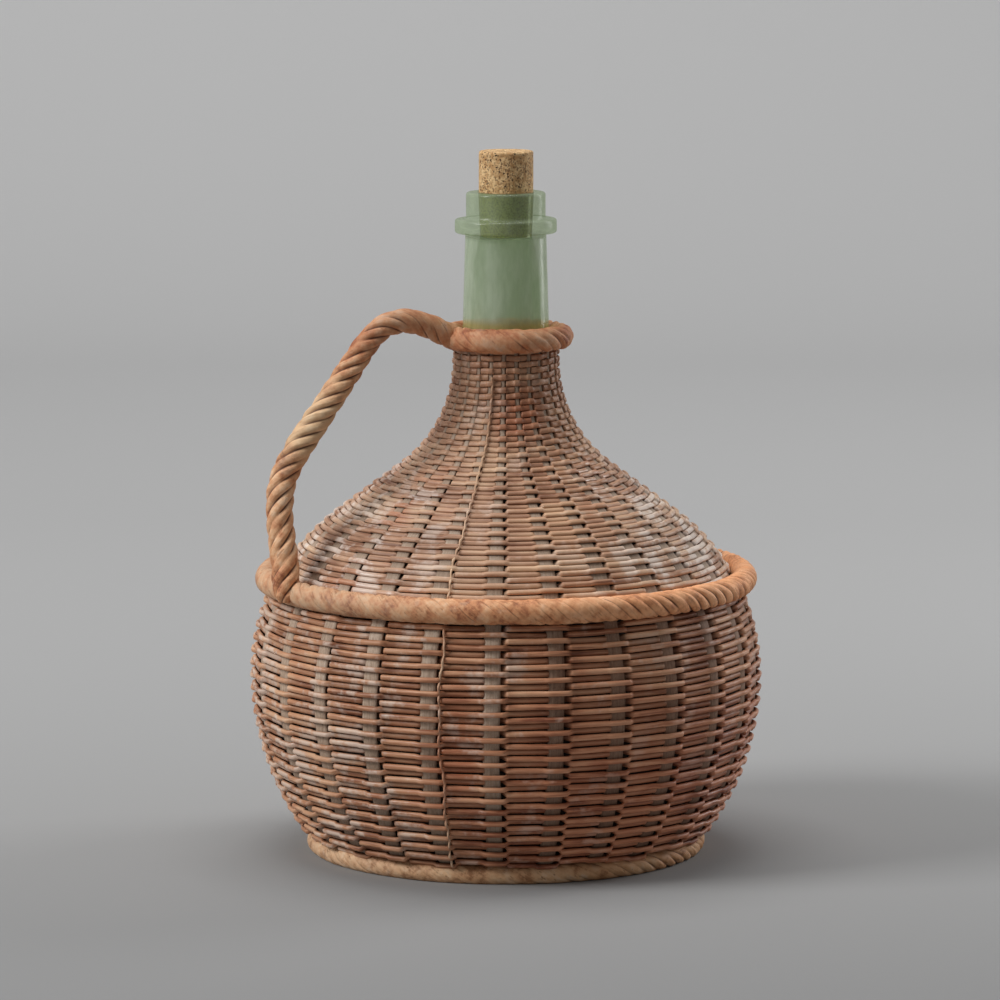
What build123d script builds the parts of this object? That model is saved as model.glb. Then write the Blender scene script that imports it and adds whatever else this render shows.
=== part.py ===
from build123d import *
import os
from math import acos, atan2, ceil, cos, degrees, hypot, radians, sin, sqrt

# Wicker demijohn: a round glass bottle of about five litres in a woven willow cover, with one roped
# bow handle and a cork. All lengths are millimetres. The origin is the middle of the foot on the
# floor, +Z runs up through the mouth, and the handle stands out towards -X.

# Glass body
belly_radius = 117.9
belly_height = 89.6
lower_arc = 127.2
shoulder_arc = 91.3
heel_radius = 6.0
cone_length = 55.0
throat_radius = 21.9
throat_arc = 69.3
glass_wall = 3.5
punt_depth = 9.0

# Glass neck and mouth
neck_top_radius = 20.1
neck_length = 63.7
collar_radius = 25.3
collar_depth = 6.0
collar_edge = 2.4
lip_radius = 19.7
lip_height = 13.9
lip_edge = 1.5
neck_wall = 4.2
throttle_height = 12.0

# Cork
cork_radius = 13.6
cork_tip_radius = 12.8
cork_seated = 20.4
cork_proud = 20.4
cork_edge = 1.2
cork_fit = 0.05
mouth_run = 2.0

# Stakes, the upright split rods of the cover
stake_count = 25
stake_turn = -2.0
stake_width = 8.0
stake_depth = 3.0
stake_neck_width = 2.2
stake_neck_depth = 1.3
stake_tip_width = 3.0
stake_start = 42.0
facet_sag = 0.2

# Weaving rods, worked over one stake and under the next
rod_depth = 2.7
rod_neck_depth = 1.3
weave_gap = 0.5
row_gap = 0.6
glass_gap = 0.5
base_courses = 5
belly_courses = 14
hood_courses = 16

# Roped rings
foot_rope = 4.9
foot_lean = 12.5
foot_flat = 0.5
belt_rope = 6.1
belt_lift = 27.4
neck_rope = 5.8
neck_ring_rise = 11.7
seat_gap = 0.3

# Handle, a roped bow from the neck ring down to the belt
handle_rope = 6.9
handle_rise = 7.0
handle_peak_reach = 65.6
handle_elbow_reach = 123.6
handle_elbow_height = 191.3
handle_peak_bend = 20.0
handle_elbow_bend = 38.0

# Crossed sticks in the middle of the base
cross_sticks = 6
stick_radius = 1.8
stick_pitch = 4.4

# The cover is a stake with one rod and its gap on each side, and lies just off the glass
weave_half = stake_depth / 2 + weave_gap + rod_depth
weave_neck_half = stake_neck_depth / 2 + weave_gap + rod_neck_depth
stake_out = glass_gap + weave_half
stake_neck_out = glass_gap + weave_neck_half

# Arc centres of the body's outline, worked up from the foot ring that carries it
lower_x = belly_radius - lower_arc
shoulder_x = belly_radius - shoulder_arc
throat_x = throat_radius + throat_arc
cone_span = hypot(shoulder_arc + throat_arc, cone_length)
throat_height = belly_height + sqrt(cone_span**2 - (throat_x - shoulder_x) ** 2)
foot_stand = heel_radius + stake_out + stake_depth / 2 + seat_gap + foot_rope
foot_height = foot_rope - foot_flat
heel_height = foot_height + foot_stand * cos(radians(foot_lean))
heel_x = lower_x + sqrt((lower_arc - heel_radius) ** 2 - (belly_height - heel_height) ** 2)
heel_end = degrees(atan2(heel_height - belly_height, heel_x - lower_x))
glass_floor = heel_height - heel_radius

# Centres of the roped rings
foot_ring_radius = heel_x + foot_stand * sin(radians(foot_lean))
belt_stand = shoulder_arc + stake_out + stake_depth / 2 + seat_gap + belt_rope
belt_radius = shoulder_x + belt_stand * cos(radians(belt_lift))
belt_height = belly_height + belt_stand * sin(radians(belt_lift))
neck_ring_radius = throat_radius + seat_gap + neck_rope
neck_ring_height = throat_height + neck_ring_rise
stake_top = neck_ring_height - neck_rope - seat_gap

# Heights of the mouth
collar_height = throat_height + neck_length
lip_base = collar_height + collar_depth
mouth_height = lip_base + lip_height
cork_foot = mouth_height - cork_seated


def body_curve(out, neck_out):
    """Heel, lower body, shoulder, cone and throat, drawn `out` and `neck_out` outside the glass."""
    shoulder = shoulder_arc + out
    throat = throat_arc - neck_out
    reach = throat_x - shoulder_x
    rise = throat_height - belly_height
    cone = atan2(rise, reach) - acos((shoulder + throat) / hypot(reach, rise))
    turn = degrees(cone)
    CenterArc((heel_x, heel_height), heel_radius + out, -90, 90 + heel_end)
    CenterArc((lower_x, belly_height), lower_arc + out, heel_end, -heel_end)
    CenterArc((shoulder_x, belly_height), shoulder, 0, turn)
    Line(
        (shoulder_x + shoulder * cos(cone), belly_height + shoulder * sin(cone)),
        (throat_x - throat * cos(cone), throat_height - throat * sin(cone)),
    )
    CenterArc((throat_x, throat_height), throat, 180 + turn, -turn)


# The line that the middle of every stake follows: out along the base, round the body, up the neck
with BuildLine(Plane.XZ) as stake_drawing:
    Line((stake_start, glass_floor - stake_out), (heel_x, glass_floor - stake_out))
    body_curve(stake_out, stake_neck_out)
    Line((throat_radius + stake_neck_out, throat_height), (throat_radius + stake_neck_out, stake_top))
stake_line = Wire(stake_drawing.edges())
stake_edges = stake_line.edges().sort_by(stake_line)
edge_ends = [sum(edge.length for edge in stake_edges[: i + 1]) for i in range(len(stake_edges))]
base_end, heel_run, lower_run, shoulder_run, cone_run, throat_run, stake_run = edge_ends
belt_run = lower_run + (shoulder_arc + stake_out) * radians(belt_lift)


def blend(along, start, end, first, last):
    """A size that runs evenly from `first` at the distance `start` to `last` at `end`."""
    share = min(max((along - start) / (end - start), 0), 1)
    return first + (last - first) * share


def width_at(along):
    """Stake width: narrow at the base tip, full round the belly, narrow again at the neck."""
    if along < base_end:
        return blend(along, 0, base_end, stake_tip_width, stake_width)
    return blend(along, belt_run, cone_run, stake_width, stake_neck_width)


def depth_at(along):
    """Stake thickness, which thins up the cone of the hood."""
    return blend(along, shoulder_run, cone_run, stake_depth, stake_neck_depth)


def rod_at(along):
    """Weaving rod thickness, which thins up the cone of the hood."""
    return blend(along, shoulder_run, cone_run, rod_depth, rod_neck_depth)


def frame_at(along, angle):
    """Point on the stake line, its direction and its outward direction, at an angle from stake_01."""
    spot = stake_line.position_at(along, position_mode=PositionMode.LENGTH)
    run = stake_line.tangent_at(along, position_mode=PositionMode.LENGTH)
    out = Vector(run.Z, 0, -run.X)
    return [vector.rotate(Axis.Z, angle + stake_turn) for vector in (spot, run, out)]


def stations():
    """Distances along the stake line whose chords stay within the facet sag of its arcs."""
    stops = [0.0]
    for edge, end in zip(stake_edges, edge_ends):
        steps = 1
        if edge.geom_type == GeomType.CIRCLE:
            steps = ceil(edge.length / sqrt(8 * edge.radius * facet_sag))
        stops += [end - edge.length * (steps - i - 1) / steps for i in range(steps)]
    return stops


# Glass bottle: blown body with a pushed-up base, a string collar and a plain lip
with BuildPart() as glass_bottle:
    with BuildSketch(Plane.XZ):
        with BuildLine():
            Line((0, glass_floor + punt_depth), (0, collar_height))
            ThreePointArc(
                (0, glass_floor + punt_depth),
                (heel_x / 2, glass_floor + punt_depth * 3 / 4),
                (heel_x, glass_floor),
            )
            body_curve(0, 0)
            Line((throat_radius, throat_height), (neck_top_radius, collar_height))
            Line((neck_top_radius, collar_height), (0, collar_height))
        make_face()
    revolve(axis=Axis.Z)
    with BuildSketch(Plane.XY.offset(collar_height)):
        Circle(collar_radius)
    extrude(amount=collar_depth)
    rims = glass_bottle.edges().filter_by_position(Axis.Z, collar_height, lip_base)
    fillet(rims.filter_by(GeomType.CIRCLE).group_by(SortBy.RADIUS)[-1], collar_edge)
    with BuildSketch(Plane.XY.offset(lip_base)):
        Circle(lip_radius)
    extrude(amount=lip_height)
    fillet(glass_bottle.edges().group_by(Axis.Z)[-1], lip_edge)
    with BuildSketch(Plane.XZ):
        with BuildLine():
            Line((0, glass_floor + punt_depth + glass_wall), (0, cork_foot - mouth_run))
            ThreePointArc(
                (0, glass_floor + punt_depth + glass_wall),
                (heel_x / 2, glass_floor + punt_depth * 3 / 4 + glass_wall),
                (heel_x, glass_floor + glass_wall),
            )
            body_curve(-glass_wall, -glass_wall)
            Polyline(
                (throat_radius - glass_wall, throat_height),
                (neck_top_radius - neck_wall, cork_foot - mouth_run - throttle_height),
                (cork_tip_radius, cork_foot - mouth_run),
                (0, cork_foot - mouth_run),
            )
        make_face()
    revolve(axis=Axis.Z, mode=Mode.SUBTRACT)

# Cork: a tapered stopper that stands half out of the mouth
cork_taper = (cork_radius - cork_tip_radius) / cork_seated
cork_length = cork_seated + cork_proud
with BuildPart() as cork:
    with BuildSketch(Plane.XZ):
        with BuildLine():
            Polyline(
                (0, cork_foot),
                (cork_tip_radius, cork_foot),
                (cork_radius, mouth_height),
                (cork_radius, mouth_height + cork_proud),
                (0, mouth_height + cork_proud),
                close=True,
            )
        make_face()
    revolve(axis=Axis.Z)
    chamfer(cork.edges().group_by(Axis.Z)[-1], cork_edge)
    chamfer(cork.edges().group_by(Axis.Z)[0], cork_edge)

# The mouth of the bottle has the cork's own taper, a running fit wider
with BuildPart() as mouth:
    with BuildSketch(Plane.XZ):
        with BuildLine():
            Polyline(
                (0, cork_foot - mouth_run),
                (cork_tip_radius - cork_taper * mouth_run + cork_fit, cork_foot - mouth_run),
                (cork_radius + cork_fit, mouth_height),
                (0, mouth_height),
                close=True,
            )
        make_face()
    revolve(axis=Axis.Z)
with glass_bottle:
    add(mouth.part, mode=Mode.SUBTRACT)

# Stakes: split rods, thick along the middle and thin at both edges, in one run from base to neck
stakes = []
for number in range(stake_count):
    with BuildPart() as stake:
        for along in stations():
            spot, run, out = frame_at(along, 360 * number / stake_count)
            wide, deep = width_at(along) / 2, depth_at(along) / 2
            with BuildSketch(Plane(spot, x_dir=run.cross(out), z_dir=run)):
                Polygon((wide, 0), (0, deep), (-wide, 0), (0, -deep))
        loft(ruled=True)
    stakes.append(stake)


def weave(first, last, courses):
    """One band of rods that winds up the stakes, outside one and inside the next.

    The band is worked from the distance `first` to `last` along the stakes. Its first and last turns
    taper, so that it starts and ends level. Its outer edges are bevelled like the round of a rod.
    """
    pitch = (last - first) / courses
    with BuildPart() as band:
        for step in range((courses + 1) * stake_count + 1):
            climb = first + pitch * step / stake_count
            top, bottom = min(climb, last), max(climb - pitch, first)
            tall = (top - bottom - row_gap) / 2
            if tall < rod_depth / 2:
                continue
            along = (top + bottom) / 2
            deep = rod_at(along) / 2
            spot, run, out = frame_at(along, 360 * step / stake_count)
            side = depth_at(along) / 2 + weave_gap + deep
            middle = spot + out * (side if step % 2 else -side)
            with BuildSketch(Plane(middle, x_dir=out, z_dir=run.cross(out))):
                Polygon(
                    (-deep, -tall), (deep, deep / 2 - tall), (deep, tall - deep / 2), (-deep, tall),
                    align=None,
                )
        loft(ruled=True)
    return band


# The odd number of stakes lets each course swap sides all the way up without a break
belt_room = belt_rope + seat_gap
base_weave = weave(weave_gap, foot_ring_radius - foot_rope - seat_gap - stake_start, base_courses)
belly_weave = weave(heel_run, belt_run - belt_room, belly_courses)
hood_weave = weave(belt_run + belt_room, stake_run, hood_courses)


def ring(radius, height, rope):
    """A roped ring about the axis, drawn as the round that its rods fill."""
    with BuildPart() as turned:
        with BuildSketch(Plane.XZ):
            with Locations((radius, height)):
                Circle(rope)
        revolve(axis=Axis.Z)
    return turned


foot_ring = ring(foot_ring_radius, foot_height, foot_rope)
with foot_ring:
    split(bisect_by=Plane.XY)
belt_ring = ring(belt_radius, belt_height, belt_rope)
neck_ring = ring(neck_ring_radius, neck_ring_height, neck_rope)

# What the ends of the handle are hollowed to fit: the two rings and the woven side of the hood
belt_seat = ring(belt_radius, belt_height, belt_room)
neck_seat = ring(neck_ring_radius, neck_ring_height, neck_rope + seat_gap)
cover_out = stake_out + weave_half + seat_gap
cover_neck_out = stake_neck_out + weave_neck_half + seat_gap
with BuildPart() as hood_seat:
    with BuildSketch(Plane.XZ):
        with BuildLine():
            body_curve(cover_out, cover_neck_out)
            Polyline(
                (throat_radius + cover_neck_out, throat_height),
                (0, throat_height),
                (0, glass_floor - cover_out),
                (heel_x, glass_floor - cover_out),
            )
        make_face()
    revolve(axis=Axis.Z)

# Handle: a bow in one sweep, from the outside of the neck ring to the top of the belt ring
with BuildPart() as handle:
    with BuildLine(Plane.XZ) as bow:
        FilletPolyline(
            (-neck_ring_radius - neck_rope / 2, neck_ring_height + neck_rope / 2),
            (-handle_peak_reach, neck_ring_height + neck_rope / 2 + handle_rise),
            (-handle_elbow_reach, handle_elbow_height),
            (-belt_radius, belt_height + belt_rope / 2),
            radius=[handle_peak_bend, handle_elbow_bend],
        )
    with BuildSketch(Plane(bow.line @ 0, z_dir=bow.line % 0)):
        Circle(handle_rope)
    sweep()
    add(belt_seat.part, mode=Mode.SUBTRACT)
    add(neck_seat.part, mode=Mode.SUBTRACT)
    add(hood_seat.part, mode=Mode.SUBTRACT)

# Crossed sticks: two sets of rods under the middle of the bottle, one laid over the other
cross_reach = stake_start - seat_gap
stick_lift = stick_radius + seat_gap / 2
crosses = {}
for name, lift, turn in [("cross_sticks_upper", stick_lift, 0), ("cross_sticks_lower", -stick_lift, 90)]:
    with BuildPart() as cross:
        for number in range(cross_sticks):
            offset = stick_pitch * (number - (cross_sticks - 1) / 2)
            half = sqrt(cross_reach**2 - (abs(offset) + stick_radius) ** 2)
            with Locations(Location((0, 0, glass_floor - stake_out + lift), (0, 0, turn))):
                with Locations(Location((-half, offset, 0), (0, 90, 0))):
                    Cylinder(stick_radius, half * 2, align=(Align.CENTER, Align.CENTER, Align.MIN))
    crosses[name] = cross

pieces = {
    "glass_bottle": glass_bottle,
    "cork": cork,
    "base_weave": base_weave,
    "belly_weave": belly_weave,
    "hood_weave": hood_weave,
    "foot_ring": foot_ring,
    "belt_ring": belt_ring,
    "neck_ring": neck_ring,
    "handle": handle,
    **crosses,
    **{f"stake_{number + 1:02d}": stake for number, stake in enumerate(stakes)},
}
os.makedirs("parts", exist_ok=True)
for name, piece in pieces.items():
    piece.part.label = name
    export_step(piece.part, f"parts/{name}.step")
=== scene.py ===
"""Wicker demijohn: woven willow cover, roped rings and handle, milky glass and a cork."""
import logging
from collections.abc import Callable
from dataclasses import dataclass, replace
from enum import Enum
from typing import Any, Union

import bpy
import numpy as np
from mathutils import Matrix


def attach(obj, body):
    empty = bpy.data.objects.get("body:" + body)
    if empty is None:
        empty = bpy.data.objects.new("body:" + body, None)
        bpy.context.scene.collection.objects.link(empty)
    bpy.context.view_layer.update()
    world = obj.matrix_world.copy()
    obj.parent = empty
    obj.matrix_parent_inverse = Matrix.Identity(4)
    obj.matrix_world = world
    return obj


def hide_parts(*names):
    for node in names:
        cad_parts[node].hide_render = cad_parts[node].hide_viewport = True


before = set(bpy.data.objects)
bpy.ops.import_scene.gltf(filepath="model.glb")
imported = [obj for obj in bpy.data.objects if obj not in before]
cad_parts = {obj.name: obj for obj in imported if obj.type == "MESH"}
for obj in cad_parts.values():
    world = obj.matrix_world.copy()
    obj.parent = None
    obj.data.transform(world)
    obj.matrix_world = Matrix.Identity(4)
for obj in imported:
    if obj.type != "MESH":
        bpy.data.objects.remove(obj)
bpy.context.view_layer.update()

MM = 0.001
TAU = 2 * np.pi
STAKES = 25
STAKE_TURN = np.radians(-2.0)
ACROSS = (0.9135, -0.4067, 0.0)  # Level, from the key-lit side of the cover to its side in painted shade
UPRIGHT = (0.0, 0.0, 1.0)
LOG = logging.getLogger("demijohn")

Array = np.ndarray
Value = Union["Term", float, tuple]
Triple = tuple[float, float, float]
Skin = tuple[Array, dict[str, Any]]  # Grid of points in millimetres, and fields for the finish
Stretch = tuple[float, float]  # Two places, in metres, between which a finish changes


class Slot(Enum):
    """Material slots of the record; each new piece names the one that its finish belongs to."""

    GLASS = "glass"
    CORK = "cork"
    ROPE = "rope"
    FOOT_ROPE = "foot_rope"
    WILLOW = "willow"
    STAKE = "stake"


class Body(Enum):
    """Bodies that the pieces ride on."""

    BOTTLE = "bottle"
    CORK = "cork"


def tint(red: int, green: int, blue: int) -> tuple[float, float, float, float]:
    """Linear colour of a screen colour, by the screen's own curve.

    Args:
        red, green, blue: Screen values from 0 to 255.

    Returns:
        Linear red, green, blue and an opacity of 1.
    """
    share = np.array([red, green, blue]) / 255
    linear = np.where(share <= 0.04045, share / 12.92, ((share + 0.055) / 1.055) ** 2.4)
    return (*(float(value) for value in linear), 1.0)


# Shader expressions


def _operator(operation: str, swapped: bool = False) -> Callable[["Term", Value], "Term"]:
    """Makes an operator of Term.

    Args:
        operation: Operation of the Math node.
        swapped: Whether the other value comes first, as when a number stands on the left.

    Returns:
        The operator, which joins the two values in a Math node.
    """

    def operator(term: "Term", other: Value) -> "Term":
        """Math node on both values."""
        values = {0: other, 1: term} if swapped else {0: term, 1: other}
        return term.graph.node("ShaderNodeMath", {"operation": operation}, values)

    return operator


class Term:
    """A shader value. Arithmetic on it adds Math nodes."""

    def __init__(self, graph: "Graph", socket: bpy.types.NodeSocket) -> None:
        """Wraps one output socket of a graph."""
        self.graph = graph
        self.socket = socket

    __add__, __radd__ = _operator("ADD"), _operator("ADD", True)
    __sub__, __rsub__ = _operator("SUBTRACT"), _operator("SUBTRACT", True)
    __mul__, __rmul__ = _operator("MULTIPLY"), _operator("MULTIPLY", True)

    def step(self, low: float, high: float) -> "Term":
        """Smooth rise from 0 at `low` to 1 at `high`."""
        inputs = {"Value": self, "From Min": low, "From Max": high}
        return self.graph.node("ShaderNodeMapRange", {"interpolation_type": "SMOOTHSTEP"}, inputs)


@dataclass(frozen=True)
class Noise:
    """A noise pattern: its scale, its detail and how strong the detail is."""

    scale: float
    detail: float = 3.0
    rough: float = 0.6


class Graph:
    """Node tree of one material."""

    def __init__(self, name: str) -> None:
        """Starts an empty material."""
        self.material = bpy.data.materials.new(name)
        self.material.use_nodes = True
        self.tree = self.material.node_tree
        self.tree.nodes.clear()

    def node(
        self, kind: str, settings: dict[str, Any], inputs: dict[Any, Value], output: Any = 0
    ) -> Term:
        """Adds a node.

        Args:
            kind: Blender's name of the node type.
            settings: Node properties, set first; `stops` fills a colour ramp.
            inputs: Values or terms by socket name or number.
            output: Name or number of the socket that is returned.

        Returns:
            The chosen output as a term.
        """
        made = self.tree.nodes.new(kind)
        for key, value in settings.items():
            if key != "stops":
                setattr(made, key, value)
                continue
            elements = made.color_ramp.elements
            while len(elements) < len(value):
                elements.new(1.0)
            for element, (place, colour) in zip(elements, value):
                element.position, element.color = place, colour
        for key, value in inputs.items():
            if isinstance(value, Term):
                self.tree.links.new(value.socket, made.inputs[key])
            else:
                made.inputs[key].default_value = value
        return Term(self, made.outputs[output])

    def place(self) -> Term:
        """Object coordinates."""
        return self.node("ShaderNodeTexCoord", {}, {}, "Object")

    def field(self, name: str, output: str = "Fac") -> Term:
        """Attribute of the mesh, as a number or as a vector."""
        return self.node("ShaderNodeAttribute", {"attribute_name": name}, {}, output)

    def vector(self, operation: str, first: Value, second: Value, output: Any = 0) -> Term:
        """Vector Math node."""
        settings = {"operation": operation}
        return self.node("ShaderNodeVectorMath", settings, {0: first, 1: second}, output)

    def along(self, direction: Triple) -> Term:
        """Distance in metres from the origin along a direction."""
        return self.vector("DOT_PRODUCT", self.place(), direction, "Value")

    def stretch(self, vector: Term, scale: Triple) -> Term:
        """Vector times a scale on each axis."""
        return self.vector("MULTIPLY", vector, scale)

    def grain(self, run: float) -> Term:
        """The mesh's own grain coordinates, with the way along the rod times `run`."""
        return self.stretch(self.field("grain", "Vector"), (run, 1.0, 1.0))

    def noise(self, noise: Noise, vector: Term | None = None) -> Term:
        """Fractal noise from 0 to 1, on Object coordinates or on a vector."""
        sizes = {"Scale": noise.scale, "Detail": noise.detail, "Roughness": noise.rough}
        inputs = {"Vector": vector or self.place(), **sizes}
        return self.node("ShaderNodeTexNoise", {}, inputs, "Fac")

    def cells(self, scale: float) -> Term:
        """Distance to the nearest of scattered points."""
        inputs = {"Vector": self.place(), "Scale": scale}
        return self.node("ShaderNodeTexVoronoi", {"feature": "F1"}, inputs, "Distance")

    def ramp(self, value: Term, stops: list[tuple[float, tuple]]) -> Term:
        """Colour ramp over a number."""
        return self.node("ShaderNodeValToRGB", {"stops": stops}, {0: value}, "Color")

    def mix(self, share: Value, first: Value, second: Value, blend: str = "MIX") -> Term:
        """Colour mix."""
        settings = {"data_type": "RGBA", "blend_type": blend}
        return self.node("ShaderNodeMix", settings, {0: share, 6: first, 7: second}, 2)

    def bump(self, height: Term, depth: float) -> Term:
        """Bump of a height from 0 to 1 that is `depth` metres deep."""
        inputs = {"Strength": 1.0, "Distance": depth, "Height": height}
        return self.node("ShaderNodeBump", {}, inputs)

    def finish(
        self, inputs: dict[str, Value], cover: Value = 1.0, through: tuple | None = None
    ) -> bpy.types.Material:
        """Ends the graph in one surface shader.

        Args:
            inputs: Values of the surface shader by socket name.
            cover: Share of the surface that hides what is behind it.
            through: Colour that the rest lets through, for glass.

        Returns:
            The material.
        """
        shader = self.node("ShaderNodeBsdfPrincipled", {}, inputs)
        if through is not None:
            clear = self.node("ShaderNodeBsdfTransparent", {}, {"Color": through})
            shader = self.node("ShaderNodeMixShader", {}, {0: cover, 1: clear, 2: shader})
        out = self.tree.nodes.new("ShaderNodeOutputMaterial")
        self.tree.links.new(shader.socket, out.inputs["Surface"])
        return self.material


# Finishes


@dataclass(frozen=True)
class RodFinish:
    """Bark of a willow rod, streaked along its run, with worn and rusty places, and painted light
    and shade.

    The three strengths of the worn places and their painted sheen are for the key-lit side, the
    middle and the far side.
    A painted shade darkens the side away from the key lamp: it fades up the cover by `lifts` and on
    the far side by the far sheen, which there also adds painted glints to the worn places.
    """

    name: str
    deep: tuple
    dark: tuple
    middle: tuple
    pale: tuple
    worn: tuple
    rust: tuple
    recess_shade: float
    contrast: float
    wear_and_sheen: Triple
    side_shade: tuple
    lifts: float
    far_sheen: float
    blot: Triple | None = None
    streaks: Noise = Noise(900.0, 4.0)
    flecks: Noise = Noise(700.0, 2.0, 0.5)
    blotches: Noise = Noise(26.0)
    patches: Noise = Noise(60.0, 4.0, 0.65)
    rusting: Noise = Noise(17.0)
    key_side_span: Stretch = (-0.1, -0.02)
    far_side: Stretch = (0.02, 0.08)
    shade_side: Stretch = (-0.06, 0.04)
    far_sheen_side: Stretch = (0.03, 0.08)
    lift: Stretch = (0.05, 0.13)
    throat: Stretch = (0.185, 0.235)
    blot_edge: Stretch = (0.007, 0.02)
    rough: float = 0.52
    relief: float = 0.00015

    def material(self) -> bpy.types.Material:
        """Mixes the colour from the rod's own tone, its streaks and wide blotches.

        Returns:
            The material.
        """
        g = Graph(self.name)
        tone, front = g.field("tone"), g.field("front")
        height, across = g.along(UPRIGHT), g.along(ACROSS)
        streak = g.noise(self.streaks, g.grain(0.06))
        flecks = g.noise(self.flecks, g.grain(0.5))
        blotch = g.noise(self.blotches)
        patches = g.noise(self.patches)
        rusty = g.noise(self.rusting)
        level = tone * 0.42 + streak.step(0.3, 0.7) * 0.3 + blotch.step(0.32, 0.68) * 0.28
        level = (level - 0.5) * self.contrast + 0.56
        stops = [(0.08, self.deep), (0.3, self.dark), (0.55, self.middle), (0.85, self.pale)]
        colour = g.ramp(level, stops)
        colour = g.mix(rusty.step(0.52, 0.7) * tone.step(0.3, 0.7) * 0.5, colour, self.rust)
        if self.blot is not None:
            away = g.vector("DISTANCE", g.place(), self.blot, "Value")
            blot = (1.0 - away.step(*self.blot_edge)) * tone.step(0.1, 0.6) * 0.7
            colour = g.mix(blot, colour, self.rust)
        # Worn places with painted sheen: the pale colour is stronger on the key-lit side and, on
        # the hood, on the far side, where the patches stand for glints.
        left, middle, right = self.wear_and_sheen
        key_side, far = 1.0 - across.step(*self.key_side_span), across.step(*self.far_side)
        wear_and_sheen = key_side * (left - middle) + far * (right - middle) + middle
        worn = (patches + (key_side + far * self.far_sheen) * 0.07).step(0.52, 0.66)
        worn = worn * front.step(-0.1, 0.7)
        colour = g.mix(worn * wear_and_sheen, colour, self.worn)
        shade = (front * 0.5 + 0.5).step(-0.1, 0.7)
        colour = g.mix(0.3 + shade * 0.7, self.deep, colour)
        # Painted shade on the rods where they lie back from the front.
        hollow = 1.0 - g.field("level").step(-0.7, 0.6)
        colour = g.mix(hollow * self.recess_shade, colour, self.deep)
        # Painted shade on the throat of the hood, under the neck ring.
        colour = g.mix(height.step(*self.throat) * 0.45, colour, self.dark)
        # Painted shade on the side away from the key lamp, fading up the cover and, on the hood,
        # again on the far side.
        side_shade = across.step(*self.shade_side) * (1.0 - self.lifts * height.step(*self.lift))
        side_shade = side_shade - across.step(*self.far_sheen_side) * self.far_sheen
        colour = g.mix(side_shade, colour, self.side_shade, "MULTIPLY")
        return g.finish({
            "Base Color": colour,
            "Roughness": self.rough - 0.22 * rusty.step(0.5, 0.66) * patches.step(0.42, 0.6),
            "Normal": g.bump(streak * 0.7 + flecks * 0.3, self.relief),
        })


@dataclass(frozen=True)
class RopeFinish:
    """Smooth worn rods of a rope: blotched, streaked along each strand, with painted shade in the
    grooves.

    `sides` is how strong the painted colours of the key-lit side and of the far side are, which
    stand in for how the light falls there.
    """

    name: str
    groove: tuple
    brown: tuple
    clay: tuple
    tan: tuple
    straw: tuple
    bleached: tuple
    dust_and_sheen: tuple
    far: tuple
    sides: tuple[float, float] = (0.0, 0.0)
    marks: Noise = Noise(380.0, 4.0, 0.65)
    marked: float = 0.5
    blotches: Noise = Noise(55.0, 3.0, 0.55)
    mottling: Noise = Noise(210.0, 4.0, 0.62)
    streaks: Noise = Noise(620.0)
    bleaching: Noise = Noise(120.0, 4.0, 0.65)
    neck: Stretch = (0.235, 0.262)
    key_side_span: Stretch = (-0.1, -0.01)
    far_side: Stretch = (-0.08, 0.14)
    relief: float = 0.0006

    def material(self) -> bpy.types.Material:
        """Mixes the colour from wide blotches, bark marks, bleached places and grooves.

        Returns:
            The material.
        """
        g = Graph(self.name)
        blotch = g.noise(self.blotches)
        mottle = g.noise(self.mottling)
        streak = g.noise(self.streaks, g.grain(0.2))
        level = blotch.step(0.34, 0.66) * 0.45 + mottle.step(0.34, 0.66) * 0.4
        level = level + streak.step(0.32, 0.68) * 0.15
        stops = [(0.1, self.brown), (0.34, self.clay), (0.7, self.tan), (1.0, self.bleached)]
        colour = g.ramp(level, stops)
        bleached = g.noise(self.bleaching).step(0.54, 0.66)
        colour = g.mix(bleached * 0.3, colour, self.bleached)
        colour = g.mix(g.field("straw") * 0.75, colour, self.straw)
        colour = g.mix(g.along(UPRIGHT).step(*self.neck) * 0.42, colour, self.brown)
        # Painted light and shade: greyer on the key-lit side and warmer on the far side, for how
        # the key lamp falls.
        if any(self.sides):
            across = g.along(ACROSS)
            uneven = mottle.step(0.35, 0.65) * 0.6 + 0.7
            key_side = (1.0 - across.step(*self.key_side_span)) * uneven
            far = across.step(*self.far_side) * uneven
            colour = g.mix(key_side * self.sides[0], colour, self.dust_and_sheen)
            colour = g.mix(far * self.sides[1], colour, self.far)
        marks = g.noise(self.marks, g.grain(0.5)).step(0.6, 0.7)
        colour = g.mix(marks * self.marked, colour, self.brown)
        # Painted shade in the grooves between the strands.
        crown = g.field("front").step(0.05, 0.72)
        colour = g.mix(0.12 + crown * 0.88, self.groove, colour)
        return g.finish({
            "Base Color": colour,
            "Roughness": 0.55 + 0.2 * mottle,
            "Normal": g.bump(streak * 0.35 + mottle * 0.65 - marks * 0.4, self.relief),
        })


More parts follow.
